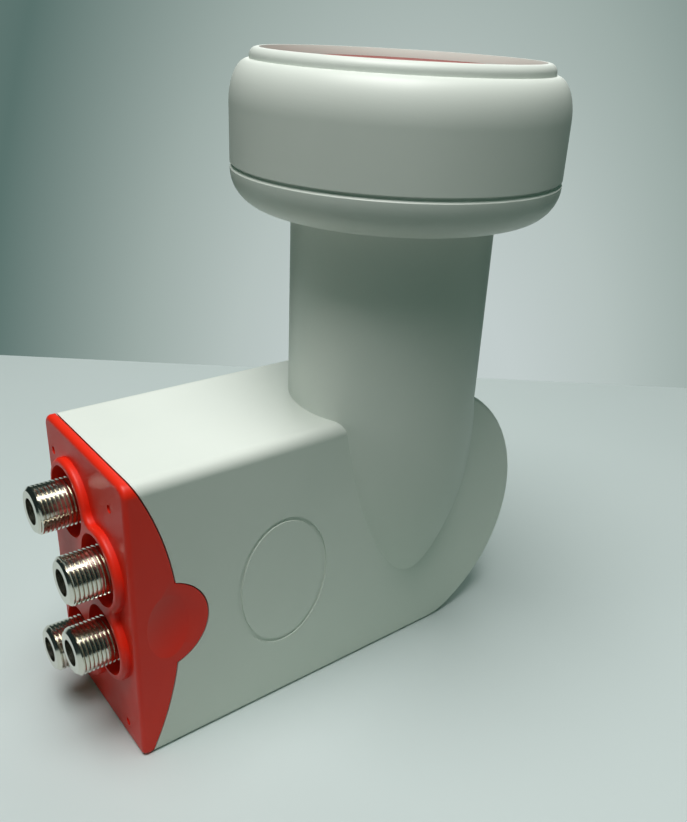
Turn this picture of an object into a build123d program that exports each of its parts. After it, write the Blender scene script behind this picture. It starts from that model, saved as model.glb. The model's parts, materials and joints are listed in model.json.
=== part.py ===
"""Quad-output satellite low noise block: feed, neck, electronics case and four F sockets.

Millimetres, +Z up. The origin is the neck's axis on the plane the case stands on. The case runs
along X, with its red socket end at -X and its rounded tail at +X. The neck stands nearer to the
-Y side, because the boards fill the +Y side of the case beside the waveguide.
"""
import os

from build123d import *

# Case, seen from its side
case_height = 60.0
case_width = 36.0
neck_to_near_side = 10.2
front_x = -63.5
tail_corner_x = 13.5
tail_end_x = 34.4
tail_blend = 12.0
top_edge = 2.4
bottom_edge = 1.1
case_wall = 2.0

# Neck, the swelling where it sinks into the case, and the collar on top
neck_diameter = 40.0
neck_length = 38.7
neck_wall = 2.0
swell_length = 43.2
swell_sink = 0.5
swell_lean = 3.4
swell_sections = 6
collar_diameter = 63.0
collar_radius = 6.7
collar_band = 0.6
collar_edge = 0.4
collar_floor = 2.2
collar_wall = 2.2
collar_bevel = 2.8

# Feed cap with its lip and window
cap_height = 18.2
cap_wall = 2.0
shoulder_radius = 3.6
shoulder_ledge = 0.1
lip_height = 2.0
lip_wall = 2.3
lip_edge = 0.7
window_recess = 1.6
window_thickness = 1.6
window_ledge = 1.3
window_clearance = 0.1
joint_groove_height = 0.6
joint_groove_depth = 0.8

# Feed horn, waveguide and the gasket on the horn's flange
guide_bore = 18.2
guide_wall = 1.5
guide_length = 59.0
guide_end_floor = 2.0
horn_length = 26.0
horn_wall = 2.0
horn_mouth_gap = 2.2
horn_mouth_drop = 4.2
flange_height = 2.2
flange_clearance = 0.3
gasket_thickness = 1.0

# Red socket cover
front_edge_margin = 0.1
cover_wall = 2.0
cover_front_wall = 1.6
cover_depth = 8.9
cover_arc_radius = 66.0
lobe_set_back = 3.4
lobe_drop = 1.2
lobe_radius = 9.4
joint_gap = 0.25
plateau_height = 1.6
plateau_edge = 0.9
plateau_notch = 2.5
pocket_diameter = 14.2
pocket_depth = 3.1
pocket_rim = 1.3
socket_hole_clearance = 0.3
dimple_offset = 1.2
dimple_width = 8.4
dimple_height = 14.2
dimple_depth = 0.7
pin_mark_diameter = 1.6
pin_mark_depth = 0.3
pin_mark_near = 6.4
pin_mark_far = 3.6
pin_mark_top = 6.8
pin_mark_bottom = 4.2

# Oval ring pressed into the near side
oval_x = -31.4
oval_drop = 1.4
oval_width = 21.2
oval_height = 29.6
oval_line = 0.9
oval_depth = 0.35

# F sockets: two columns across, inner rows about a mid height, outer rows set in from the case's edge
column_spacing = 12.8
socket_mid_rise = 0.4
inner_row = 8.0
outer_row_margin = 13.8
thread_diameter = 9.4
socket_stand_out = 6.6
socket_tip_chamfer = 0.7
thread_relief = 0.4
thread_end_gap = 0.2
socket_bore = 5.2
socket_bore_depth = 2.6
socket_flange_diameter = 12.4
socket_flange_thickness = 1.0
spigot_diameter = 8.4
press_clearance = 0.05
seal_thickness = 0.9
seal_rim = 1.0
contact_diameter = 1.8
contact_hole = 1.0
contact_start = 1.0
contact_sleeve_length = 8.0
tail_diameter = 0.9
tail_gap = 0.35
tail_run = 8.0
tail_bend = 2.0
insulator_back = 0.5

# Cast chassis tray, its lid and the board
chassis_clearance = 0.3
chassis_wall = 2.0
chassis_front_wall = 2.5
guide_backing = 1.2
web_thickness = 1.8
lid_thickness = 1.5
board_thickness = 0.8
board_clearance = 0.3
saddle_wall = 2.9
saddle_height = 18.0
saddle_rise = 1.0
saddle_near_clearance = 0.4
wire_hole = 2.4
rib_thickness = 1.2
rib_x = -25.0
rib_length = 38.0

# Lid screws and their bosses, set in from the tray's edge
boss_diameter = 6.0
screw_head_diameter = 4.4
screw_head_height = 1.5
screw_slot_width = 0.6
screw_slot_depth = 0.6
screw_diameter = 2.4
screw_end_gap = 3.2
boss_from_front = 5.0
boss_middle_x = -20.0
boss_edge = 4.4

# Probes into the waveguide, measured up from its closed end
probe_diameter = 1.0
straight_probe_rise = 5.0
crossed_probe_rise = 13.0
probe_reach = 5.5
crossed_probe_x = -17.0
probe_bend = 2.0
probe_stand = 0.6

# Packages on the board: length along the case, height, thickness
converter_size = (9.0, 9.0, 1.0)
converter_place = (-7.5, 44.0)
switch_size = (10.0, 10.0, 1.0)
switch_place = (-38.0, 30.0)
crystal_size = (5.0, 3.2, 1.2)
crystal_place = (2.0, 26.0)

# Places worked out from the sizes above: case and feed
near_y = -neck_to_near_side
far_y = near_y + case_width
middle_y = (near_y + far_y) / 2
middle_z = case_height / 2
neck_radius = neck_diameter / 2
neck_bore_radius = neck_radius - neck_wall
swell_end_radius = neck_to_near_side - swell_sink
swell_drop = neck_radius - swell_end_radius
swell_arc = (swell_length**2 + swell_drop**2) / (2 * swell_drop)
collar_outer_radius = collar_diameter / 2
collar_bore_radius = collar_outer_radius - collar_wall
collar_seat_radius = collar_bore_radius - collar_bevel
collar_bottom_z = case_height + neck_length
collar_floor_z = collar_bottom_z + collar_floor
collar_top_z = collar_bottom_z + collar_radius + collar_band
shoulder_z = collar_top_z + cap_height
lip_radius = collar_outer_radius - shoulder_radius - shoulder_ledge
lip_top_z = shoulder_z + lip_height
recess_radius = lip_radius - lip_wall
window_top_z = lip_top_z - window_recess
window_seat_z = window_top_z - window_thickness
skirt_bore_radius = recess_radius - window_ledge
flange_radius = collar_seat_radius - flange_clearance
flange_top_z = collar_floor_z + flange_height
skirt_bottom_z = flange_top_z + gasket_thickness
guide_radius = guide_bore / 2
guide_outer_radius = guide_radius + guide_wall
horn_mouth_radius = skirt_bore_radius - horn_mouth_gap
horn_mouth_bore_radius = horn_mouth_radius - horn_wall
horn_mouth_z = shoulder_z - cap_wall - horn_mouth_drop
horn_throat_z = horn_mouth_z - horn_length
guide_end_z = horn_throat_z - guide_length

# Places worked out from the sizes above: cover, chassis and sockets
cover_front_edge = bottom_edge - front_edge_margin
cover_arc_x = front_x + cover_depth
lobe_x = cover_arc_x - lobe_set_back
dimple_x = lobe_x + dimple_offset
cover_cavity_x = front_x + cover_front_wall
plateau_x = front_x - plateau_height
pocket_floor_x = plateau_x + pocket_depth
cover_seal_x = pocket_floor_x + cover_front_wall
flange_front_x = cover_seal_x + seal_thickness
chassis_front_x = flange_front_x + socket_flange_thickness
tray_front_x = chassis_front_x + chassis_front_wall
tray_inset = case_wall + chassis_clearance
board_y = guide_outer_radius + guide_backing
web_y = board_y - web_thickness
board_top_y = board_y + board_thickness
lid_top_y = far_y - case_wall - chassis_clearance - screw_head_height
lid_y = lid_top_y - lid_thickness
tray_depth = lid_y - board_y
screw_length = lid_top_y - board_y - screw_end_gap
saddle_bottom_z = guide_end_z + saddle_rise
straight_probe_z = guide_end_z + straight_probe_rise
crossed_probe_z = guide_end_z + crossed_probe_rise
thread_radius = thread_diameter / 2
thread_end_x = pocket_floor_x - thread_end_gap
socket_tip_x = plateau_x - socket_stand_out
tail_end_of_run_x = tray_front_x + tail_run
far_column_y = board_top_y + tail_gap + tail_diameter / 2
near_column_y = far_column_y - column_spacing
socket_mid_z = middle_z + socket_mid_rise
outer_row = middle_z - outer_row_margin
sockets = [
    (far_column_y, socket_mid_z + outer_row),
    (near_column_y, socket_mid_z + inner_row),
    (far_column_y, socket_mid_z - outer_row),
    (near_column_y, socket_mid_z - inner_row),
]
tail_holes = [(tail_end_of_run_x, z) for y, z in sockets if y == near_column_y]
probe_holes = [(0, straight_probe_z), (crossed_probe_x, crossed_probe_z)]
boss_places = [
    (x, z)
    for x in (tray_front_x + boss_from_front, boss_middle_x, tail_corner_x)
    for z in (tray_inset + boss_edge, case_height - tray_inset - boss_edge)
]
pin_marks = [
    (y, z)
    for y in (near_y + pin_mark_near, far_y - pin_mark_far)
    for z in (pin_mark_bottom, case_height - pin_mark_top)
]
through = 4 * case_width

os.makedirs("parts", exist_ok=True)


def save(piece, name):
    """Name a finished piece and write it to its own file."""
    piece.label = name
    export_step(piece, f"parts/{name}.step")


def side_plane(y):
    """A plane facing -Y at the given place, drawn in X and Z."""
    return Plane.XZ.offset(-y)


def case_outline(inset, start_x):
    """Side outline of the case with its round tail, drawn in by an inset all round."""
    with BuildSketch() as outline:
        with BuildLine():
            Polyline(
                (tail_corner_x, 0),
                (start_x - inset, 0),
                (start_x - inset, case_height),
                (tail_corner_x, case_height),
            )
            ThreePointArc((tail_corner_x, case_height), (tail_end_x, middle_z), (tail_corner_x, 0))
        make_face()
        tail_corners = outline.vertices().group_by(Axis.X)[-1]
        fillet(tail_corners.sort_by(Axis.Y)[0], radius=tail_blend)
        if inset > 0:
            offset(amount=-inset)
    return outline.sketch


def case_block(inset, start_x):
    """The case as a square-edged block, drawn in by an inset all round."""
    with BuildPart() as block:
        with BuildSketch(side_plane(near_y + inset)):
            add(case_outline(inset, start_x))
        extrude(amount=-(case_width - 2 * inset))
    return block.part


def rounded_case():
    """The outer block: its top edges are softer than those below and round the tail."""
    with BuildPart() as case:
        add(case_block(0, front_x))
        fillet(case.edges().filter_by(Axis.X).group_by(Axis.Z)[-1], radius=top_edge)
        fillet(case.edges().filter_by(Axis.X).group_by(Axis.Z)[0], radius=bottom_edge)
    return case.part


def cover_region(gap):
    """The front part of the case that belongs to the cover, grown by a gap at the joint."""
    with BuildPart() as region:
        with BuildSketch(side_plane(middle_y)):
            with Locations((cover_arc_x - cover_arc_radius, middle_z)):
                Circle(cover_arc_radius + gap)
            with Locations((lobe_x, middle_z - lobe_drop)):
                Circle(lobe_radius + gap)
        extrude(amount=through, both=True)
    return region.part


def socket_field(radius):
    """Four joined discs about the sockets, straight along the far column."""
    column_height = 2 * outer_row
    with BuildSketch() as field:
        with Locations(*sockets):
            Circle(radius)
        with BuildLine():
            Polyline(sockets[0], sockets[1], sockets[3], sockets[2], close=True)
        make_face()
        with Locations((far_column_y, socket_mid_z)):
            Rectangle(radius, column_height, align=(Align.MIN, Align.CENTER))
        offset(amount=plateau_notch)
        offset(amount=-plateau_notch)
    return field.sketch


def swelling(wall):
    """The neck's sinking end: it narrows along an arc and leans towards the tail on its way down."""
    with BuildPart() as swell:
        for section in range(swell_sections + 1):
            share = section / swell_sections
            depth = swell_length * share
            radius = neck_radius - swell_arc + (swell_arc**2 - depth**2) ** 0.5
            with BuildSketch(Plane.XY.offset(case_height - depth)):
                with Locations((swell_lean * (1 - (1 - share) ** 2), 0)):
                    Circle(radius - wall)
        loft()
    return swell.part


# Housing: case, swelling, neck and collar moulded as one
with BuildPart() as housing:
    add(rounded_case())
    add(swelling(0))
    with BuildSketch(Plane.XZ) as turned:
        with BuildLine():
            Polyline(
                (0, collar_top_z),
                (0, case_height),
                (neck_radius, case_height),
                (neck_radius, collar_bottom_z),
                (collar_outer_radius, collar_bottom_z),
                (collar_outer_radius, collar_top_z),
                close=True,
            )
        make_face()
        corners = turned.vertices()
        fillet(corners.sort_by_distance((collar_outer_radius, collar_bottom_z))[0], radius=collar_radius)
        corners = turned.vertices()
        chamfer(corners.sort_by_distance((collar_outer_radius, collar_top_z))[0], length=collar_edge)
    revolve(axis=Axis.Z)
    add(case_block(case_wall, front_x - through), mode=Mode.SUBTRACT)
    with BuildSketch(Plane.XZ):
        with BuildLine():
            Polyline(
                (0, collar_top_z),
                (0, case_height),
                (neck_bore_radius, case_height),
                (neck_bore_radius, collar_floor_z),
                (collar_seat_radius, collar_floor_z),
                (collar_bore_radius, collar_floor_z + collar_bevel),
                (collar_bore_radius, collar_top_z),
                close=True,
            )
        make_face()
    revolve(axis=Axis.Z, mode=Mode.SUBTRACT)
    add(swelling(neck_wall), mode=Mode.SUBTRACT)
    add(cover_region(joint_gap), mode=Mode.SUBTRACT)
    with BuildSketch(side_plane(near_y)):
        with Locations((oval_x, middle_z - oval_drop)):
            Ellipse(oval_width / 2, oval_height / 2)
            Ellipse(oval_width / 2 - oval_line, oval_height / 2 - oval_line, mode=Mode.SUBTRACT)
    extrude(amount=-oval_depth, mode=Mode.SUBTRACT)
save(housing.part, "housing")

# Feed cap: drum wall, rounded shoulder, lip and the skirt that presses on the horn's gasket
with BuildPart() as feed_cap:
    with BuildSketch(Plane.XZ) as drum:
        with BuildLine():
            Polyline(
                (collar_outer_radius - joint_groove_depth, collar_top_z),
                (collar_outer_radius - joint_groove_depth, collar_top_z + joint_groove_height),
                (collar_outer_radius, collar_top_z + joint_groove_height),
                (collar_outer_radius, shoulder_z),
                (lip_radius, shoulder_z),
                (lip_radius, lip_top_z),
                (recess_radius, lip_top_z),
                (recess_radius, window_seat_z),
                (skirt_bore_radius, window_seat_z),
                (skirt_bore_radius, skirt_bottom_z),
                (flange_radius, skirt_bottom_z),
                (flange_radius, shoulder_z - cap_wall),
                (collar_outer_radius - cap_wall, shoulder_z - cap_wall),
                (collar_outer_radius - cap_wall, collar_top_z),
                close=True,
            )
        make_face()
        corners = drum.vertices()
        fillet(corners.sort_by_distance((collar_outer_radius, shoulder_z))[0], radius=shoulder_radius)
        corners = drum.vertices()
        fillet(corners.sort_by_distance((lip_radius, lip_top_z))[0], radius=lip_edge)
        corners = drum.vertices()
        inner_shoulder = (collar_outer_radius - cap_wall, shoulder_z - cap_wall)
        fillet(corners.sort_by_distance(inner_shoulder)[0], radius=shoulder_radius - cap_wall)
    revolve(axis=Axis.Z)
save(feed_cap.part, "feed_cap")

# Red window disc that closes the feed, recessed inside the lip
with BuildPart() as feed_window:
    with BuildSketch(Plane.XY.offset(window_seat_z)):
        Circle(recess_radius - window_clearance)
    extrude(amount=window_thickness)
save(feed_window.part, "feed_window")

# Feed horn: closed waveguide tube, flare and the flange that sits on the collar's floor
with BuildPart() as feed_horn:
    with BuildSketch(Plane.XZ):
        with BuildLine():
            Polyline(
                (0, guide_end_z),
                (guide_outer_radius, guide_end_z),
                (guide_outer_radius, horn_throat_z),
                (horn_mouth_radius, horn_mouth_z),
                (horn_mouth_bore_radius, horn_mouth_z),
                (guide_radius, horn_throat_z),
                (guide_radius, guide_end_z + guide_end_floor),
                (0, guide_end_z + guide_end_floor),
                close=True,
            )
        make_face()
    revolve(axis=Axis.Z)
    flare_rise = (collar_floor_z - horn_throat_z) / (horn_mouth_z - horn_throat_z)
    flare_radius = guide_radius + flare_rise * (horn_mouth_bore_radius - guide_radius)
    with BuildSketch(Plane.XY.offset(collar_floor_z)):
        Circle(flange_radius)
        Circle(flare_radius + horn_wall / 2, mode=Mode.SUBTRACT)
    extrude(amount=flange_height)
    with BuildSketch(Plane.XZ):
        with BuildLine():
            Polyline(
                (0, horn_throat_z),
                (guide_radius, horn_throat_z),
                (horn_mouth_bore_radius, horn_mouth_z),
                (0, horn_mouth_z),
                close=True,
            )
        make_face()
    revolve(axis=Axis.Z, mode=Mode.SUBTRACT)
    with BuildSketch(side_plane(guide_outer_radius)):
        with Locations((0, straight_probe_z)):
            Circle(wire_hole / 2)
    extrude(amount=guide_outer_radius, mode=Mode.SUBTRACT)
    with BuildSketch(Plane.YZ.offset(-guide_outer_radius)):
        with Locations((0, crossed_probe_z)):
            Circle(wire_hole / 2)
    extrude(amount=guide_outer_radius, mode=Mode.SUBTRACT)
save(feed_horn.part, "feed_horn")

# Gasket between the horn's flange and the feed cap's skirt
with BuildPart() as feed_gasket:
    with BuildSketch(Plane.XY.offset(flange_top_z)):
        Circle(flange_radius)
        Circle(skirt_bore_radius, mode=Mode.SUBTRACT)
    extrude(amount=gasket_thickness)
save(feed_gasket.part, "feed_gasket")

# Red cover over the sockets
with BuildPart() as socket_cover:
    add(rounded_case())
    front_face = socket_cover.faces().sort_by(Axis.X)[0]
    fillet(front_face.edges(), radius=cover_front_edge)
    add(cover_region(0), mode=Mode.INTERSECT)
    with BuildSketch(Plane.YZ.offset(cover_cavity_x)):
        add(socket_field(pocket_diameter / 2 + pocket_rim))
    extrude(amount=plateau_x - cover_cavity_x)
    plateau_face = socket_cover.faces().sort_by(Axis.X)[0]
    fillet(plateau_face.edges(), radius=plateau_edge)
    add(case_block(cover_wall, cover_cavity_x), mode=Mode.SUBTRACT)
    with BuildSketch(Plane.YZ.offset(cover_seal_x)):
        with Locations(*sockets):
            Circle(pocket_diameter / 2 + pocket_rim)
    extrude(until=Until.NEXT, dir=(-1, 0, 0))
    with BuildSketch(Plane.YZ.offset(plateau_x)):
        with Locations(*sockets):
            Circle(pocket_diameter / 2)
    extrude(amount=pocket_depth, mode=Mode.SUBTRACT)
    with BuildSketch(Plane.YZ.offset(plateau_x)):
        with Locations(*sockets):
            Circle(thread_radius + socket_hole_clearance)
    extrude(amount=cover_seal_x - plateau_x, mode=Mode.SUBTRACT)
    dimple_ring = (dimple_width**2 / 4 + dimple_depth**2) / (2 * dimple_depth)
    dimple_rim_x = dimple_x + dimple_ring - dimple_depth
    dimple_top_z = middle_z - lobe_drop + dimple_height / 2
    dimple_bottom_z = middle_z - lobe_drop - dimple_height / 2
    dimple_crown = (dimple_rim_x + dimple_depth, middle_z - lobe_drop)
    dimple_shift = dimple_depth - dimple_ring
    for axis_y in (near_y + dimple_shift, far_y - dimple_shift):
        with BuildSketch(side_plane(axis_y)):
            with BuildLine():
                Polyline(
                    (dimple_rim_x, dimple_bottom_z),
                    (dimple_x, dimple_bottom_z),
                    (dimple_x, dimple_top_z),
                    (dimple_rim_x, dimple_top_z),
                )
                ThreePointArc((dimple_rim_x, dimple_top_z), dimple_crown, (dimple_rim_x, dimple_bottom_z))
            make_face()
        revolve(axis=Axis((dimple_x, axis_y, 0), (0, 0, 1)), mode=Mode.SUBTRACT)
    with BuildSketch(Plane.YZ.offset(front_x)):
        with Locations(*pin_marks):
            Circle(pin_mark_diameter / 2)
    extrude(amount=pin_mark_depth, mode=Mode.SUBTRACT)
save(socket_cover.part, "socket_cover")

# Rubber seal between the cover's pockets and the socket flanges
with BuildPart() as socket_seal:
    with BuildSketch(Plane.YZ.offset(cover_seal_x)):
        add(socket_field(socket_flange_diameter / 2 + seal_rim))
    extrude(amount=seal_thickness)
    with BuildSketch(Plane.YZ.offset(cover_seal_x)):
        with Locations(*sockets):
            Circle(thread_radius - thread_relief + press_clearance)
    extrude(amount=seal_thickness, mode=Mode.SUBTRACT)
save(socket_seal.part, "socket_seal")

# Cast chassis: tray on the far side, wall that carries the sockets, and saddle for the waveguide
with BuildPart() as chassis:
    with BuildSketch(side_plane(web_y)):
        add(case_outline(tray_inset, chassis_front_x))
    extrude(amount=-(lid_y - web_y))
    with BuildSketch(side_plane(board_y)):
        add(case_outline(tray_inset + chassis_wall, tray_front_x))
    extrude(amount=-tray_depth, mode=Mode.SUBTRACT)
    with BuildSketch(side_plane(board_y)):
        with Locations(*boss_places):
            Circle(boss_diameter / 2)
    extrude(amount=-tray_depth)
    with BuildSketch(Plane.YZ.offset(chassis_front_x)):
        with Locations(((near_y + tray_inset + web_y) / 2, middle_z)):
            Rectangle(web_y - near_y - tray_inset, case_height - 2 * tray_inset)
    extrude(amount=chassis_front_wall)
    saddle_near_y = near_y + case_wall + saddle_near_clearance
    saddle_width = 2 * (guide_outer_radius + saddle_wall)
    with BuildSketch(Plane.XY.offset(saddle_bottom_z)):
        with Locations((0, (saddle_near_y + web_y) / 2)):
            Rectangle(saddle_width, web_y - saddle_near_y)
    extrude(amount=saddle_height)
    with BuildSketch(Plane.XY):
        Circle(guide_outer_radius + press_clearance)
    extrude(amount=case_height, mode=Mode.SUBTRACT)
    with BuildSketch(Plane.YZ.offset(chassis_front_x)):
        with Locations(*sockets):
            Circle(spigot_diameter / 2 + press_clearance)
    extrude(amount=chassis_front_wall, mode=Mode.SUBTRACT)
    with BuildSketch(side_plane(board_y)):
        with Locations(*probe_holes, *tail_holes):
            Circle(wire_hole / 2)
    extrude(amount=web_thickness, mode=Mode.SUBTRACT)
    with BuildSketch(Plane.YZ.offset(-saddle_width / 2)):
        with Locations((0, crossed_probe_z)):
            Circle(wire_hole / 2)
    extrude(amount=saddle_width / 2, mode=Mode.SUBTRACT)
    with BuildSketch(side_plane(lid_y)):
        with Locations(*boss_places):
            Circle(screw_diameter / 2 + press_clearance)
    extrude(amount=tray_depth, mode=Mode.SUBTRACT)
save(chassis.part, "chassis")

# Board on the tray's floor, cut out round the screw bosses and the wires
with BuildPart() as rf_board:
    board_inset = tray_inset + chassis_wall + board_clearance
    with BuildSketch(side_plane(board_y)):
        add(case_outline(board_inset, tray_front_x + board_clearance))
    extrude(amount=-board_thickness)
    with BuildSketch(side_plane(board_y)):
        with Locations(*boss_places):
            Circle(boss_diameter / 2 + board_clearance)
        with Locations(*probe_holes):
            Circle(probe_diameter / 2 + press_clearance)
        with Locations(*tail_holes):
            Circle(tail_diameter / 2 + press_clearance)
    extrude(amount=-board_thickness, mode=Mode.SUBTRACT)
save(rf_board.part, "rf_board")

# Lid of the tray, with a screening rib that stands on the board
with BuildPart() as chassis_lid:
    with BuildSketch(side_plane(lid_y)):
        add(case_outline(tray_inset, chassis_front_x))
    extrude(amount=-lid_thickness)
    with BuildSketch(side_plane(lid_y)):
        with Locations((rib_x, middle_z)):
            Rectangle(rib_thickness, rib_length)
    extrude(amount=lid_y - board_top_y)
    with BuildSketch(side_plane(lid_y)):
        with Locations(*boss_places):
            Circle(screw_diameter / 2 + press_clearance)
    extrude(amount=-lid_thickness, mode=Mode.SUBTRACT)
save(chassis_lid.part, "chassis_lid")

# Slotted screws that hold the lid
with BuildPart() as lid_screws:
    with BuildSketch(side_plane(lid_top_y)):
        with Locations(*boss_places):
            Circle(screw_head_diameter / 2)
    extrude(amount=-screw_head_height)
    with BuildSketch(side_plane(lid_top_y)):
        with Locations(*boss_places):
            Circle(screw_diameter / 2)
    extrude(amount=screw_length)
    with BuildSketch(side_plane(lid_top_y + screw_head_height)):
        with Locations(*boss_places):
            Rectangle(screw_head_diameter, screw_slot_width)
    extrude(amount=screw_slot_depth, mode=Mode.SUBTRACT)
save(lid_screws.part, "lid_screws")

# Packages soldered on the board
packages = {
    "converter_chip": (converter_size, converter_place),
    "switch_chip": (switch_size, switch_place),
    "reference_crystal": (crystal_size, crystal_place),
}
for name, ((length, height, thickness), place) in packages.items():
    with BuildPart() as package:
        with BuildSketch(side_plane(board_top_y)):
            with Locations(place):
                Rectangle(length, height)
        extrude(amount=-thickness)
    save(package.part, name)

# Straight probe from the board into the waveguide, and the probe set across it
with BuildPart() as straight_probe:
    with BuildSketch(side_plane(board_top_y + probe_stand)):
        with Locations((0, straight_probe_z)):
            Circle(probe_diameter / 2)
    extrude(amount=board_top_y + probe_stand - guide_radius + probe_reach)
save(straight_probe.part, "straight_probe")

with BuildPart() as crossed_probe:
    with BuildLine() as probe_route:
        FilletPolyline(
            (crossed_probe_x, board_top_y + probe_stand, crossed_probe_z),
            (crossed_probe_x, 0, crossed_probe_z),
            (probe_reach - guide_radius, 0, crossed_probe_z),
            radius=probe_bend,
        )
    with BuildSketch(Plane(probe_route.line @ 0, z_dir=probe_route.line % 0)):
        Circle(probe_diameter / 2)
    sweep()
save(crossed_probe.part, "crossed_probe")

# F sockets: threaded shell, insulator and sprung contact with its tail to the board
for number, (y, z) in enumerate(sockets, start=1):
    axis_plane = Plane(origin=(0, y, z), x_dir=(1, 0, 0), z_dir=(0, -1, 0))
    socket_axis = Axis((0, y, z), (1, 0, 0))
    with BuildPart() as shell:
        with BuildSketch(axis_plane):
            with BuildLine():
                Polyline(
                    (socket_tip_x, socket_bore / 2),
                    (socket_tip_x, thread_radius - socket_tip_chamfer),
                    (socket_tip_x + socket_tip_chamfer, thread_radius),
                    (thread_end_x, thread_radius),
                    (thread_end_x, thread_radius - thread_relief),
                    (flange_front_x, thread_radius - thread_relief),
                    (flange_front_x, socket_flange_diameter / 2),
                    (chassis_front_x, socket_flange_diameter / 2),
                    (chassis_front_x, spigot_diameter / 2),
                    (tray_front_x, spigot_diameter / 2),
                    (tray_front_x, socket_bore / 2),
                    close=True,
                )
            make_face()
        revolve(axis=socket_axis)
    save(shell.part, f"socket_shell_{number}")

    insulator_x = socket_tip_x + socket_bore_depth
    sleeve_x = insulator_x + contact_start
    sleeve_end_x = sleeve_x + contact_sleeve_length
    insulator_end_x = tray_front_x - insulator_back
    with BuildPart() as insulator:
        with BuildSketch(axis_plane):
            with BuildLine():
                Polyline(
                    (insulator_x, contact_hole / 2),
                    (insulator_x, socket_bore / 2 - press_clearance),
                    (insulator_end_x, socket_bore / 2 - press_clearance),
                    (insulator_end_x, tail_diameter / 2 + press_clearance),
                    (sleeve_end_x + press_clearance, tail_diameter / 2 + press_clearance),
                    (sleeve_end_x + press_clearance, contact_diameter / 2 + press_clearance),
                    (sleeve_x - press_clearance, contact_diameter / 2 + press_clearance),
                    (sleeve_x - press_clearance, contact_hole / 2),
                    close=True,
                )
            make_face()
        revolve(axis=socket_axis)
    save(insulator.part, f"socket_insulator_{number}")

    with BuildPart() as contact:
        with BuildSketch(Plane.YZ.offset(sleeve_x)):
            with Locations((y, z)):
                Circle(contact_diameter / 2)
                Circle(contact_hole / 2, mode=Mode.SUBTRACT)
        extrude(amount=contact_sleeve_length - contact_hole)
        with BuildSketch(Plane.YZ.offset(sleeve_end_x - contact_hole)):
            with Locations((y, z)):
                Circle(contact_diameter / 2)
        extrude(amount=contact_hole)
        with BuildLine() as tail_route:
            if y == near_column_y:
                FilletPolyline(
                    (sleeve_end_x, y, z),
                    (tail_end_of_run_x, y, z),
                    (tail_end_of_run_x, board_top_y + probe_stand, z),
                    radius=tail_bend,
                )
            else:
                Line((sleeve_end_x, y, z), (tail_end_of_run_x, y, z))
        with BuildSketch(Plane.YZ.offset(sleeve_end_x)):
            with Locations((y, z)):
                Circle(tail_diameter / 2)
        sweep()
    save(contact.part, f"socket_contact_{number}")
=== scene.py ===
# %% [markdown]
# # A satellite receiver head, dressed for its picture
# The object is the head that sits at the focus of a dish: a white case with a round neck and a
# feed drum on top, and a red cover with four threaded cable sockets at one end. The CAD model
# gives every shape and place, in metres, and this lesson adds what CAD leaves out: moulded
# edges, cut threads, finishes, light and a camera. The model is loaded first.

# %% Load the packed model
import json
import math

import bpy
from mathutils import Matrix, Vector

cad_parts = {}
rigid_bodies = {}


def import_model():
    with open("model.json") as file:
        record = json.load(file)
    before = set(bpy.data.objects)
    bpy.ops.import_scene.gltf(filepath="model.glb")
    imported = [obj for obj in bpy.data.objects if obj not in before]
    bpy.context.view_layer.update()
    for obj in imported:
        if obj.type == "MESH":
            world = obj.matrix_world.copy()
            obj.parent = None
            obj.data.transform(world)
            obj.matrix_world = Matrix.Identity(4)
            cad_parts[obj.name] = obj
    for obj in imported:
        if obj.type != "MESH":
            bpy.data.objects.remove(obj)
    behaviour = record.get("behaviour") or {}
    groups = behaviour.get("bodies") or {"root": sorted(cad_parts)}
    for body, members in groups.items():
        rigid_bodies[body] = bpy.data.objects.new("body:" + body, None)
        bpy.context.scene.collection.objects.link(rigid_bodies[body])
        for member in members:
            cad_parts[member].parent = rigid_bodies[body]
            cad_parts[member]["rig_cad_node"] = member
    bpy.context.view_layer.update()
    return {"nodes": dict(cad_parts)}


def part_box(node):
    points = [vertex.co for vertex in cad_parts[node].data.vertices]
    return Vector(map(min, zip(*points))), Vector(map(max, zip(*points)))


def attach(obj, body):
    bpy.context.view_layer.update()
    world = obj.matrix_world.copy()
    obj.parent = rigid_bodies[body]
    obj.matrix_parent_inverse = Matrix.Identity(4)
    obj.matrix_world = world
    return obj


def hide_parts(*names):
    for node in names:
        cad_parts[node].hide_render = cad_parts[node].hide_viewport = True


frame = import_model()
nodes = frame["nodes"]
mm = 0.001
print("nodes loaded:", len(nodes))

# %% [markdown]
# ## The camera
# The photograph was taken from a little above, with the socket end nearest. Its place, turn and
# lens were worked out from the straight edges of the case and the known width of the neck, so
# they are written here as numbers. A camera can be aimed with a constraint, but a matrix made
# from three directions also keeps the slight roll of a hand-held picture.

# %% Camera at the photograph's place
picture_width = 687
picture_height = 822
focal_pixels = 843.244
picture_middle = (366.80, 424.85)
turn, tilt, roll = -0.698, 0.45, 0.059
camera_place = Vector((-109.46, -126.356, 131.85)) * mm

back = Vector((math.sin(turn) * math.cos(tilt), -math.cos(turn) * math.cos(tilt), math.sin(tilt)))
level = Vector((0, 0, 1)).cross(back).normalized()
upright = back.cross(level)
right = math.cos(roll) * level + math.sin(roll) * upright
up = math.cos(roll) * upright - math.sin(roll) * level

bpy.ops.object.camera_add()
camera = bpy.context.object
camera.name = "photo_camera"
camera_turn = Matrix((right, up, back)).transposed().to_4x4()
camera.matrix_world = Matrix.Translation(camera_place) @ camera_turn
camera.data.sensor_width = 36.0
camera.data.lens = focal_pixels * camera.data.sensor_width / picture_height
camera.data.shift_x = (picture_width / 2 - picture_middle[0]) / picture_height
camera.data.shift_y = (picture_middle[1] - picture_height / 2) / picture_height
camera.data.clip_start = 0.01
bpy.context.scene.camera = camera
print("lens in mm:", round(camera.data.lens, 2))

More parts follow.
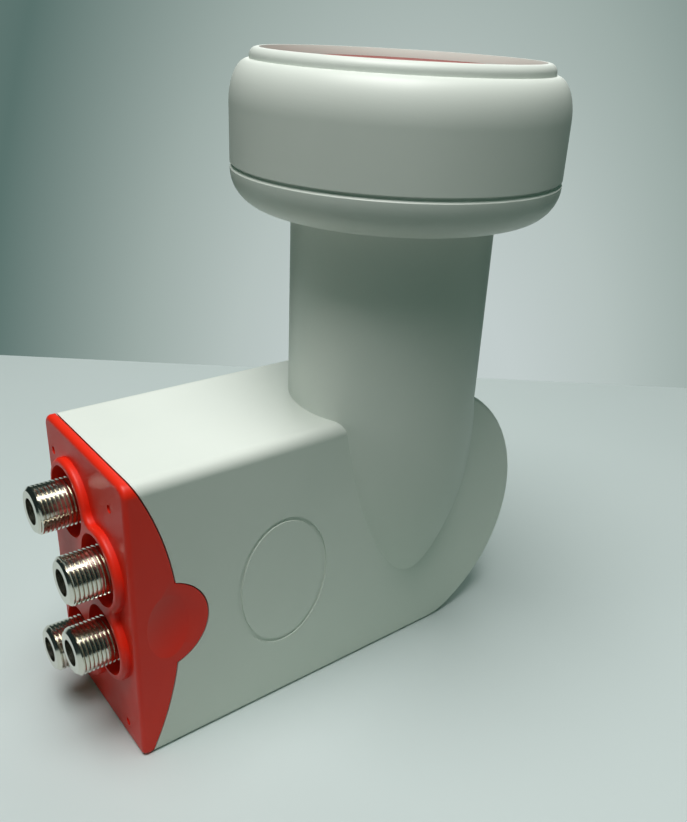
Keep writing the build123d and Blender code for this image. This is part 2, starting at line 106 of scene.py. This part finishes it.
# %% [markdown]
# ## Maths on shader sockets
# Finishes are mixed from noise, edges and numbers, and a long chain of Math nodes is hard to
# read. A small class holds one socket and turns Python's own operators into Math nodes, so a
# finish reads like a formula. Every other kind of node comes from its one method, which makes
# the node, sets its options and then fills its sockets.

# %% A socket that takes part in formulas
class Shade:
    """One socket of a node tree. Sums on it add Math nodes."""

    def __init__(self, tree, socket=None):
        self.tree = tree
        self.socket = socket

    def node(self, kind, settings=None, sockets=None, output=0):
        made = self.tree.nodes.new(kind)
        for name, value in (settings or {}).items():
            if name == "stops":
                while len(made.color_ramp.elements) < len(value):
                    made.color_ramp.elements.new(1.0)
                for stop, (place, tone) in zip(made.color_ramp.elements, value):
                    stop.position = place
                    stop.color = tone
            else:
                setattr(made, name, value)
        for name, value in (sockets or {}).items():
            if isinstance(value, Shade):
                self.tree.links.new(value.socket, made.inputs[name])
            else:
                made.inputs[name].default_value = value
        return Shade(self.tree, made.outputs[output] if made.outputs else None)

    def maths(self, operation, first, second):
        return self.node("ShaderNodeMath", {"operation": operation}, {0: first, 1: second})

    def __add__(self, other):
        return self.maths("ADD", self, other)

    def __radd__(self, other):
        return self.maths("ADD", other, self)

    def __sub__(self, other):
        return self.maths("SUBTRACT", self, other)

    def __rsub__(self, other):
        return self.maths("SUBTRACT", other, self)

    def __mul__(self, other):
        return self.maths("MULTIPLY", self, other)

    def __rmul__(self, other):
        return self.maths("MULTIPLY", other, self)

    def __truediv__(self, other):
        return self.maths("DIVIDE", self, other)

    def __rtruediv__(self, other):
        return self.maths("DIVIDE", other, self)

    def __pow__(self, other):
        return self.maths("POWER", self, other)

    def clamped(self):
        return self.node("ShaderNodeClamp", {}, {"Value": self})

    def blend(self, first, second):
        """A colour between two, by this value."""
        kinds = {"data_type": "RGBA"}
        return self.node("ShaderNodeMix", kinds, {0: self, 6: first, 7: second}, output=2)


print("operators ready:", [name for name in vars(Shade) if name.startswith("__r")])

# %% [markdown]
# ## The table and the room
# The head stands on a pale table in front of a grey-green wall. A wall mesh would block the view
# from behind, so the table is a plain sheet whose far edge lies where the photograph shows the
# line between table and wall, and the room's own colour stands for the wall. The two points of
# that line are sent from the camera down to the table's plane.

# %% Table top with its far edge on the photograph's line
def on_table(column, row):
    """The point of the table's plane that the camera sees at a pixel."""
    across, down = column - picture_middle[0], row - picture_middle[1]
    ray = right * across - up * down - back * focal_pixels
    return camera_place - ray * (camera_place.z / ray.z)


edge_row_left, edge_row_right = 355, 388
edge_left = on_table(0, edge_row_left)
edge_right = on_table(picture_width, edge_row_right)
along = (edge_right - edge_left).normalized()
towards = Vector((0, 0, 1)).cross(along)
table_size = 3.0
table_middle = (edge_left + edge_right) / 2 - towards * table_size / 2
bpy.ops.object.select_all(action="DESELECT")
bpy.ops.mesh.primitive_plane_add(
    size=table_size, location=table_middle, rotation=(0, 0, math.atan2(along.y, along.x))
)
table = bpy.context.object
table.name = "table_top"
print("table's far edge lies", round((edge_left + edge_right).length / 2 / mm), "mm from the neck")

# %% [markdown]
# ## Table paint
# The table is painted a pale grey with faint clouds. In the photograph only the table close to the
# head throws light back up at it. So the rays that light the head meet a dark table with a pale
# pool round the foot, while the camera and shiny metal see the paint itself. The Light Path node
# tells these rays apart, and only the floor and the room use it.

# %% Pale table paint
table_paint = bpy.data.materials.new("pale_table")
table_paint.use_nodes = True
table_paint.node_tree.nodes.clear()
paint = Shade(table_paint.node_tree)
spot = paint.node("ShaderNodeTexCoord", output=3)
cloud = paint.node("ShaderNodeTexNoise", {}, {"Vector": spot, "Scale": 6.0, "Detail": 3.0})
pale = cloud.blend((0.60, 0.67, 0.675, 1), (0.66, 0.72, 0.725, 1))
seen = paint.node("ShaderNodeLightPath", output=0)
mirrored = paint.node("ShaderNodeLightPath", output=3)
foot = table.matrix_world.inverted() @ Vector((0, 0, 0))
apart = paint.node("ShaderNodeVectorMath", {"operation": "DISTANCE"}, {0: spot, 1: foot}, output=1)
pool_start, pool_fade = 0.04, 0.13
far_bounce, near_bounce = (0.04, 0.05, 0.045, 1), (0.50, 0.57, 0.52, 1)
pool = (1.0 - (apart - pool_start) / pool_fade).clamped()
bounce = pool.blend(far_bounce, near_bounce)
tone = (seen + mirrored).clamped().blend(bounce, pale)
sheen = 0.5 + cloud * 0.12
matt = paint.node("ShaderNodeBsdfPrincipled", {}, {"Base Color": tone, "Roughness": sheen})
paint.node("ShaderNodeOutputMaterial", {"target": "ALL"}, {"Surface": matt})
table.data.materials.append(table_paint)
print("table paint:", table_paint.name)

# %% [markdown]
# ## The wall and the room's glow
# The wall is lit in a patch behind the head and falls off to its sides. It is painted on the
# background by direction, so it needs no mesh. Metal mirrors the same patch, but the rest of the
# room is darker there. A weak even glow fills the shadows.

# %% The wall, brightest behind the head
room = bpy.context.scene.world or bpy.data.worlds.new("room")
bpy.context.scene.world = room
room.use_nodes = True
room.node_tree.nodes.clear()
air = Shade(room.node_tree)
way = air.node("ShaderNodeTexCoord", output=0)


def along_way(direction):
    """How far the way looked runs along a direction."""
    dot = {"operation": "DOT_PRODUCT"}
    return air.node("ShaderNodeVectorMath", dot, {0: way, 1: direction[:]}, output=1)


patch_side, patch_drop, patch_squeeze = 0.06, 0.02, 0.6
sideways = along_way(right) - patch_side
upwards = (along_way(up) + patch_drop) * patch_squeeze
reach = (sideways * sideways + upwards * upwards) ** 0.5
wall_stops = [
    (0.12, (0.54, 0.61, 0.605, 1)),
    (0.225, (0.46, 0.535, 0.515, 1)),
    (0.325, (0.335, 0.41, 0.385, 1)),
    (0.475, (0.10, 0.165, 0.15, 1)),
    (0.9, (0.30, 0.36, 0.34, 1)),
]
wall = air.node("ShaderNodeValToRGB", {"stops": wall_stops}, {"Fac": reach})
dark_stops = [(0.475, (0.06, 0.10, 0.09, 1)), (0.65, (0.015, 0.025, 0.025, 1))]
mirror_stops = wall_stops[:3] + dark_stops
mirrored_room = air.node("ShaderNodeValToRGB", {"stops": mirror_stops}, {"Fac": reach})
print("wall tones:", len(wall_stops))

# %% The room's own light
glow = (0.022, 0.075, 0.052, 1)
seen = air.node("ShaderNodeLightPath", output=0)
mirrored = air.node("ShaderNodeLightPath", output=3)
mixed = seen.blend(mirrored.blend(glow, mirrored_room), wall)
light = air.node("ShaderNodeBackground", {}, {"Color": mixed, "Strength": 1.0})
air.node("ShaderNodeOutputWorld", {}, {"Surface": light})
print("room nodes:", len(room.node_tree.nodes))

# %% [markdown]
# ## Lamps
# One soft panel overhead, a little to the camera's left, gives the bright top faces and the dim
# sides of the photograph. A far weaker one stands behind, so that the far side reads well too.


# %% Soft lamps overhead and behind
def soft_lamp(name, place, aim, width, watts, tint):
    """A square lamp panel at a place, turned to a point."""
    bpy.ops.object.light_add(type="AREA", location=place)
    lamp = bpy.context.object
    lamp.name = name
    lamp.rotation_euler = (Vector(aim) - Vector(place)).to_track_quat("-Z", "Y").to_euler()
    lamp.data.shape = "SQUARE"
    lamp.data.size = width
    lamp.data.energy = watts
    lamp.data.color = tint
    return lamp


ceiling_lamp = soft_lamp(
    "ceiling_lamp",
    place=(-0.134, -0.066, 0.68),
    aim=(-0.01, 0.0, 0.05),
    width=0.42,
    watts=4.5,
    tint=(0.98, 0.97, 0.95),
)
back_fill = soft_lamp(
    "back_fill",
    place=(0.39, 0.46, 0.42),
    aim=(0.0, 0.0, 0.06),
    width=0.50,
    watts=0.65,
    tint=(0.97, 1.0, 0.98),
)
print("lamp watts:", ceiling_lamp.data.energy, back_fill.data.energy)

bpy.context.scene.view_settings.view_transform = "Standard"

# %% [markdown]
# ## White moulding
# The case, neck and feed cap are injection-moulded in white plastic with a satin skin. Up close
# such a skin is never one tone: the melt leaves faint clouds, handling leaves a little dullness,
# and the tool's fine texture breaks the shine. Three noises at three scales give that, and all of
# them read Object coordinates, so the pattern runs through from the neck to the case.

# %% White satin plastic
def new_finish(name):
    """An empty material, ready for a formula."""
    finish = bpy.data.materials.new(name)
    finish.use_nodes = True
    finish.node_tree.nodes.clear()
    return finish, Shade(finish.node_tree)


def noise(start, scale, detail=2.0, roughness=0.5):
    """Cloudy noise through the whole object, scale in lumps per metre."""
    spot = start.node("ShaderNodeTexCoord", output=3)
    sockets = {"Vector": spot, "Scale": scale, "Detail": detail, "Roughness": roughness}
    return start.node("ShaderNodeTexNoise", {}, sockets)


def coat(start, sockets):
    """The surface shader, joined to the material's output."""
    surface = start.node("ShaderNodeBsdfPrincipled", {}, sockets)
    start.node("ShaderNodeOutputMaterial", {"target": "ALL"}, {"Surface": surface})


white_plastic, skin = new_finish("white_satin_plastic")
clouds = noise(skin, scale=45.0, detail=4.0)
dull = noise(skin, scale=160.0, detail=3.0)
grain = noise(skin, scale=2600.0, detail=2.0)
white = clouds.blend((0.77, 0.81, 0.76, 1), (0.83, 0.86, 0.81, 1))
satin = 0.34 + dull * 0.16
bumps = skin.node("ShaderNodeBump", {}, {"Height": grain, "Strength": 0.06, "Distance": 0.0001})
coat(skin, {"Base Color": white, "Roughness": satin, "Normal": bumps, "IOR": 1.5})
print("white nodes:", len(white_plastic.node_tree.nodes))

# %% [markdown]
# ## Red moulding
# The end cover is a strong warm red, glossier than the white. Red pigment shows flow in the
# moulding as slightly deeper and lighter bands, and gloss varies where cables have rubbed it. The
# window in the feed is painted a deeper, duller red as the shade of its deep recess, which also
# keeps it from throwing red light up the lip's inner wall.

# %% Red semi-gloss plastic
red_plastic, skin = new_finish("red_gloss_plastic")
flow = noise(skin, scale=70.0, detail=3.0)
rubbed = noise(skin, scale=240.0, detail=4.0)
grain = noise(skin, scale=3000.0, detail=2.0)
red = flow.blend((0.84, 0.020, 0.006, 1), (0.93, 0.030, 0.009, 1))
gloss = 0.32 + rubbed * 0.16
bumps = skin.node("ShaderNodeBump", {}, {"Height": grain, "Strength": 0.05, "Distance": 0.0001})
coat(skin, {"Base Color": red, "Roughness": gloss, "Normal": bumps, "IOR": 1.4})
print("red nodes:", len(red_plastic.node_tree.nodes))

# %% Deep red window plastic
window_plastic, skin = new_finish("window_plastic")
flow = noise(skin, scale=70.0, detail=3.0)
# Deeper, duller red: painted shade of the window's deep recess; it also keeps red bounce light off
# the lip's inner wall.
window_shade_red = flow.blend((0.26, 0.022, 0.012, 1), (0.32, 0.030, 0.016, 1))
coat(skin, {"Base Color": window_shade_red, "Roughness": 0.45 + flow * 0.1, "IOR": 1.5})
print("window nodes:", len(window_plastic.node_tree.nodes))

# %% [markdown]
# ## Metals
# The sockets are brass with bright nickel plate, the waveguide and chassis are cast zinc alloy,
# screws are steel and the contacts are plated bronze. A metal is its reflection, so the colours
# stay even and the fine turning and casting marks go into roughness and bump.

# %% Nickel plate, cast alloy, steel and contact plate
nickel_plate, skin = new_finish("nickel_plate")
tarnish = noise(skin, scale=420.0, detail=4.0)
turned = noise(skin, scale=5200.0, detail=2.0)
plate = tarnish.blend((0.62, 0.60, 0.53, 1), (0.72, 0.70, 0.62, 1))
worn = 0.12 + tarnish * 0.08
bumps = skin.node("ShaderNodeBump", {}, {"Height": turned, "Strength": 0.05, "Distance": 0.00005})
coat(skin, {"Base Color": plate, "Metallic": 1.0, "Roughness": worn, "Normal": bumps})

cast_alloy, skin = new_finish("cast_alloy")
patches = noise(skin, scale=90.0, detail=4.0)
sand = noise(skin, scale=1800.0, detail=3.0)
alloy = patches.blend((0.50, 0.51, 0.52, 1), (0.60, 0.61, 0.61, 1))
bumps = skin.node("ShaderNodeBump", {}, {"Height": sand, "Strength": 0.25, "Distance": 0.0001})
grainy = 0.42 + patches * 0.15
coat(skin, {"Base Color": alloy, "Metallic": 1.0, "Roughness": grainy, "Normal": bumps})

bright_steel, skin = new_finish("bright_steel")
brushed = noise(skin, scale=900.0, detail=3.0)
steel = brushed.blend((0.55, 0.55, 0.54, 1), (0.66, 0.66, 0.65, 1))
coat(skin, {"Base Color": steel, "Metallic": 1.0, "Roughness": 0.25 + brushed * 0.15})

contact_plate, skin = new_finish("contact_plate")
drawn = noise(skin, scale=1500.0, detail=3.0)
bronze = drawn.blend((0.70, 0.56, 0.32, 1), (0.80, 0.66, 0.40, 1))
coat(skin, {"Base Color": bronze, "Metallic": 1.0, "Roughness": 0.22 + drawn * 0.12})
print("metals:", [m.name for m in (nickel_plate, cast_alloy, bright_steel, contact_plate)])

# %% [markdown]
# ## Rubber, board and packages
# These sit inside the head and show only when it is opened, but they are finished too: matt black
# seals, a green board with its weave just visible, black packages and the insulators at the
# bottom of each socket. The insulators' near-black teal is painted shade of the deep socket bores.

# %% Seal rubber, board laminate, package and insulator plastic
seal_rubber, skin = new_finish("seal_rubber")
bloom = noise(skin, scale=300.0, detail=4.0)
black = bloom.blend((0.022, 0.022, 0.022, 1), (0.045, 0.044, 0.042, 1))
coat(skin, {"Base Color": black, "Roughness": 0.7 + bloom * 0.2})

board_laminate, skin = new_finish("board_laminate")
spot = skin.node("ShaderNodeTexCoord", output=3)
weave = skin.node("ShaderNodeTexChecker", {}, {"Vector": spot, "Scale": 1600.0}, output=1)
resin = noise(skin, scale=120.0, detail=3.0)
green = (weave * 0.25 + resin * 0.6).blend((0.015, 0.10, 0.05, 1), (0.03, 0.17, 0.09, 1))
coat(skin, {"Base Color": green, "Roughness": 0.3 + resin * 0.2})

package_plastic, skin = new_finish("package_plastic")
dust = noise(skin, scale=700.0, detail=4.0)
dark = dust.blend((0.018, 0.018, 0.020, 1), (0.04, 0.04, 0.042, 1))
coat(skin, {"Base Color": dark, "Roughness": 0.5 + dust * 0.2})

insulator_plastic, skin = new_finish("insulator_plastic")
haze = noise(skin, scale=500.0, detail=3.0)
# Near-black teal: painted shade of the deep socket bore.
bore_shade_teal = haze.blend((0.010, 0.018, 0.016, 1), (0.022, 0.034, 0.031, 1))
coat(skin, {"Base Color": bore_shade_teal, "Roughness": 0.45 + haze * 0.2})
print("dark finishes ready:", 4)

# %% [markdown]
# ## Moulded copies
# A CAD solid comes as loose triangles, and each would shade as a flat chip. A moulding shades as
# one skin instead. Each outer moulding is copied and welded, and its flat triangles are dissolved
# into whole faces. The skin is then smoothed over every shallow edge. Smoothing alone would tilt
# the shading of the large flats next to their rounded edges, so the rim of each flat is marked
# sharp. The copy then stands for its node, which stays as it was for the simulation.

# %% Copy, weld and smooth a CAD node
weld_gap = 0.002 * mm
flat_tilt = math.radians(0.2)


def only(piece):
    """Select one object and make it active."""
    bpy.ops.object.select_all(action="DESELECT")
    piece.select_set(True)
    bpy.context.view_layer.objects.active = piece


def welded_copy(node, name):
    """A copy of a CAD node with its triangles joined, as a piece of its own."""
    only(nodes[node])
    bpy.ops.object.duplicate()
    piece = bpy.context.object
    piece.name = name
    piece.data.name = name
    del piece["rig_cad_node"]
    bpy.ops.mesh.customdata_custom_splitnormals_clear()
    bpy.ops.object.mode_set(mode="EDIT")
    bpy.ops.mesh.select_all(action="SELECT")
    bpy.ops.mesh.remove_doubles(threshold=weld_gap)
    bpy.ops.mesh.dissolve_limited(angle_limit=flat_tilt)
    bpy.ops.object.mode_set(mode="OBJECT")
    return piece


def apply_all(piece):
    """Apply every modifier in order."""
    only(piece)
    for modifier in list(piece.modifiers):
        bpy.ops.object.modifier_apply(modifier=modifier.name)


def finish_piece(piece, node, finish):
    """Give a piece its finish and its body, and hide the node that it stands for."""
    piece.data.materials.clear()
    piece.data.materials.append(finish)
    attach(piece, "root")
    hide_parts(node)
    print(piece.name, "stands for", node, "with", len(piece.data.polygons), "faces")


def smooth_skin(piece, angle=30.0, flat_area=150.0):
    """Shade a piece smoothly over shallow edges, but keep its large flats, in mm2, flat."""
    only(piece)
    bpy.ops.object.shade_smooth_by_angle(angle=math.radians(angle))
    bpy.ops.object.mode_set(mode="EDIT")
    bpy.ops.mesh.select_mode(type="FACE")
    bpy.ops.mesh.select_all(action="DESELECT")
    bpy.ops.object.mode_set(mode="OBJECT")
    flats = 0
    for face in piece.data.polygons:
        face.select = face.area > flat_area * mm * mm
        flats += face.select
    if flats:
        bpy.ops.object.mode_set(mode="EDIT")
        bpy.ops.mesh.region_to_loop()
        bpy.ops.mesh.mark_sharp()
        bpy.ops.object.mode_set(mode="OBJECT")
    print(piece.name, "keeps", flats, "flats")


# %% Case, window and end cover
mouldings = [
    ("housing", "case_and_neck", "white_plastic", white_plastic),
    ("feed_window", "feed_disc", "red_plastic", window_plastic),
    ("socket_cover", "end_cover", "red_plastic", red_plastic),
]
for node, name, slot, finish in mouldings:
    piece = welded_copy(node, name)
    smooth_skin(piece)
    finish_piece(piece, node, finish)

# %% [markdown]
# ## The turned drum
# The feed drum is round about the neck's axis, so it is drawn as half a section and spun. The CAD
# drum has a plain round shoulder and a tight edge on its lip. The photograph shows a slow oval
# shoulder and a fuller lip that catch broad bands of light, so this one piece is drawn anew. Its
# main sizes are measured from the loaded nodes. The section is a chain of points, each extruded
# from the last, and its corners are stepped along arcs. The lip's round runs a little past its
# top, and from there the inside slopes down to the window.

# %% Points of the drum's half section
def arc(middle, reach, rise, start, end, steps):
    """Points of an oval arc in the section, between two angles in degrees."""
    angles = [math.radians(start + (end - start) * step / steps) for step in range(steps + 1)]
    return [(middle[0] + reach * math.cos(a), middle[1] + rise * math.sin(a)) for a in angles]


cap_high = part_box("feed_cap")[1]
disc_low, disc_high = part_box("feed_window")
ring_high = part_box("feed_gasket")[1]
drum_radius, drum_foot, lip_top = cap_high.x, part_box("housing")[1].z, cap_high.z
drum_wall = 2.0 * mm
groove_deep, groove_high = 0.5 * mm, 0.6 * mm
shoulder, shoulder_drop = 3.6 * mm, 7.5 * mm
lip_height = 2.0 * mm
lip_radius = 27.8 * mm
lip_wall = 2.3 * mm
lip_edge = 1.5 * mm
ledge = 1.3 * mm
lip_turn = 100
shoulder_steps, lip_steps, inner_steps = 24, 12, 8
recess_radius = lip_radius - lip_wall
bore_radius = recess_radius - ledge
shoulder_top = lip_top - lip_height
bend = (drum_radius - shoulder, shoulder_top - shoulder_drop)
lip_bend = (lip_radius - lip_edge, lip_top - lip_edge)
section = [
    (drum_radius - groove_deep, drum_foot),
    (drum_radius - groove_deep, drum_foot + groove_high),
    (drum_radius, drum_foot + groove_high),
]
section += arc(bend, shoulder, shoulder_drop, 0, 90, shoulder_steps)
section += [(lip_radius, shoulder_top)]
section += arc(lip_bend, lip_edge, lip_edge, 0, lip_turn, lip_steps)
section += [
    (recess_radius, disc_high.z),
    (recess_radius, disc_low.z),
    (bore_radius, disc_low.z),
    (bore_radius, ring_high.z),
    (ring_high.x, ring_high.z),
    (ring_high.x, shoulder_top - drum_wall),
]
section += arc(bend, shoulder - drum_wall, shoulder_drop - drum_wall, 90, 0, inner_steps)
section += [(drum_radius - drum_wall, drum_foot), section[0]]
print("section points:", len(section))

# %% Chain the section and spin it
chain_gap = 0.001 * mm
spin_steps = 192
bpy.ops.object.select_all(action="DESELECT")
bpy.ops.mesh.primitive_plane_add(size=mm, location=(0, 0, 0))
drum = bpy.context.object
drum.name = "feed_drum"
drum.data.name = drum.name
bpy.ops.object.mode_set(mode="EDIT")
bpy.ops.mesh.select_mode(type="VERT")
bpy.ops.mesh.select_all(action="SELECT")
bpy.ops.mesh.merge(type="CENTER")
bpy.ops.transform.translate(value=(section[0][0], 0, section[0][1]))
for here, there in zip(section, section[1:]):
    step = (there[0] - here[0], 0, there[1] - here[1])
    bpy.ops.mesh.extrude_region_move(TRANSFORM_OT_translate={"value": step})
bpy.ops.mesh.select_all(action="SELECT")
bpy.ops.mesh.remove_doubles(threshold=chain_gap)
bpy.ops.object.mode_set(mode="OBJECT")
spin = drum.modifiers.new("spin", "SCREW")
spin.axis = "Z"
spin.steps = spin_steps
spin.render_steps = spin_steps
spin.use_merge_vertices = True
spin.merge_threshold = chain_gap
apply_all(drum)
bpy.ops.object.mode_set(mode="EDIT")
bpy.ops.mesh.select_all(action="SELECT")
bpy.ops.mesh.normals_make_consistent(inside=False)
bpy.ops.object.mode_set(mode="OBJECT")
smooth_skin(drum)
finish_piece(drum, "feed_cap", white_plastic)

# %% [markdown]
# ## Cut threads
# Each cable socket carries a fine 32-per-inch thread, and at this distance its ridges are what the
# eye takes the sockets for. A thread could be faked with bump, but the outline would stay smooth.
# Here it is cut as on a lathe: a small tapered tooth is swept into a helix with the Screw modifier
# and taken out of a copy of the turned blank with a Boolean, so the groove runs out through the
# chamfer at the tip just as it does on the real socket.

# %% The blank on its own axis
low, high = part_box("socket_shell_1")
axis_place = Vector((0, (low.y + high.y) / 2, (low.z + high.z) / 2))
blank = welded_copy("socket_shell_1", "threaded_socket_1")
bpy.ops.object.mode_set(mode="EDIT")
bpy.ops.mesh.select_all(action="SELECT")
bpy.ops.transform.translate(value=-axis_place)
bpy.ops.object.mode_set(mode="OBJECT")
thread_radius = 4.7 * mm
tip_x = low.x
print("blank runs from x", round(tip_x / mm, 2), "to", round(high.x / mm, 2), "mm")

# %% The tooth that cuts the groove
threads_per_inch = 32
pitch = 25.4 / threads_per_inch * mm
groove_depth = 0.34 * mm
tooth_mouth = 0.52 * mm
tooth_root = 0.10 * mm
spare = 0.1 * mm
thread_length = 9.5 * mm
helix_steps = 48
bpy.ops.object.select_all(action="DESELECT")
bpy.ops.mesh.primitive_plane_add(size=1.0, location=(0, 0, 0))
tooth = bpy.context.object
tooth.name = "thread_tooth"
bpy.ops.object.mode_set(mode="EDIT")
bpy.ops.mesh.select_all(action="SELECT")
tooth_height = groove_depth + spare
bpy.ops.transform.resize(value=(tooth_mouth, tooth_height, 1))
bpy.ops.transform.translate(value=(tip_x - pitch, thread_radius + spare - tooth_height / 2, 0))
bpy.ops.mesh.select_mode(type="VERT")
bpy.ops.mesh.select_all(action="DESELECT")
bpy.ops.object.mode_set(mode="OBJECT")
root_y = thread_radius - groove_depth
for corner in tooth.data.vertices:
    corner.select = abs(corner.co.y - root_y) < 0.01 * mm
bpy.ops.object.mode_set(mode="EDIT")
bpy.ops.transform.resize(
    value=(tooth_root / tooth_mouth, 1, 1), center_override=(tip_x - pitch, root_y, 0)
)
bpy.ops.mesh.select_all(action="SELECT")
bpy.ops.mesh.delete(type="ONLY_FACE")
bpy.ops.object.mode_set(mode="OBJECT")
print("tooth corners in mm:", [[round(v / mm, 2) for v in c.co] for c in tooth.data.vertices])

# %% Sweep the tooth into a helix and close its ends
helix = tooth.modifiers.new("helix", "SCREW")
helix.axis = "X"
helix.screw_offset = pitch
helix.iterations = math.ceil(thread_length / pitch) + 1
helix.steps = helix_steps
helix.render_steps = helix_steps
helix.use_merge_vertices = False
apply_all(tooth)
bpy.ops.object.mode_set(mode="EDIT")
bpy.ops.mesh.select_all(action="SELECT")
bpy.ops.mesh.remove_doubles(threshold=chain_gap)
bpy.ops.mesh.select_all(action="DESELECT")
bpy.ops.mesh.select_non_manifold()
bpy.ops.mesh.fill_holes(sides=0)
bpy.ops.mesh.select_all(action="SELECT")
bpy.ops.mesh.normals_make_consistent(inside=False)
bpy.ops.object.mode_set(mode="OBJECT")
print("helix faces:", len(tooth.data.polygons))

# %% Cut the thread
cut = blank.modifiers.new("thread", "BOOLEAN")
cut.operation = "DIFFERENCE"
cut.solver = "EXACT"
cut.object = tooth
apply_all(blank)
bpy.data.objects.remove(tooth)
only(blank)
thread_crease = math.radians(28)
bpy.ops.object.shade_smooth_by_angle(angle=thread_crease)
print("threaded socket faces:", len(blank.data.polygons))

# %% Four sockets, each screwed home at its own angle
turns = (0.0, 2.1, 4.0, 5.3)
sockets = [blank]
for number in (2, 3, 4):
    only(blank)
    bpy.ops.object.duplicate()
    copy = bpy.context.object
    copy.name = f"threaded_socket_{number}"
    copy.data.name = copy.name
    sockets.append(copy)
for number, (socket, angle) in enumerate(zip(sockets, turns), start=1):
    low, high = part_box(f"socket_shell_{number}")
    place = Vector((0, (low.y + high.y) / 2, (low.z + high.z) / 2))
    only(socket)
    bpy.ops.object.mode_set(mode="EDIT")
    bpy.ops.mesh.select_all(action="SELECT")
    bpy.ops.transform.rotate(value=angle, orient_axis="X", center_override=(0, 0, 0))
    bpy.ops.transform.translate(value=place)
    bpy.ops.object.mode_set(mode="OBJECT")
    finish_piece(socket, f"socket_shell_{number}", nickel_plate)

# %% [markdown]
# ## The pieces inside
# The rest of the nodes are right as they are: the waveguide, chassis, board, packages, probes,
# seals, insulators and contacts. Each only needs the finish of its material.

# %% Finishes for the remaining nodes
finishes = {
    "feed_horn": cast_alloy,
    "chassis": cast_alloy,
    "chassis_lid": cast_alloy,
    "feed_gasket": seal_rubber,
    "socket_seal": seal_rubber,
    "rf_board": board_laminate,
    "converter_chip": package_plastic,
    "switch_chip": package_plastic,
    "reference_crystal": bright_steel,
    "lid_screws": bright_steel,
    "straight_probe": contact_plate,
    "crossed_probe": contact_plate,
}
for number in (1, 2, 3, 4):
    finishes[f"socket_insulator_{number}"] = insulator_plastic
    finishes[f"socket_contact_{number}"] = contact_plate
for node, finish in finishes.items():
    nodes[node].data.materials.clear()
    nodes[node].data.materials.append(finish)
print("nodes finished in place:", len(finishes))
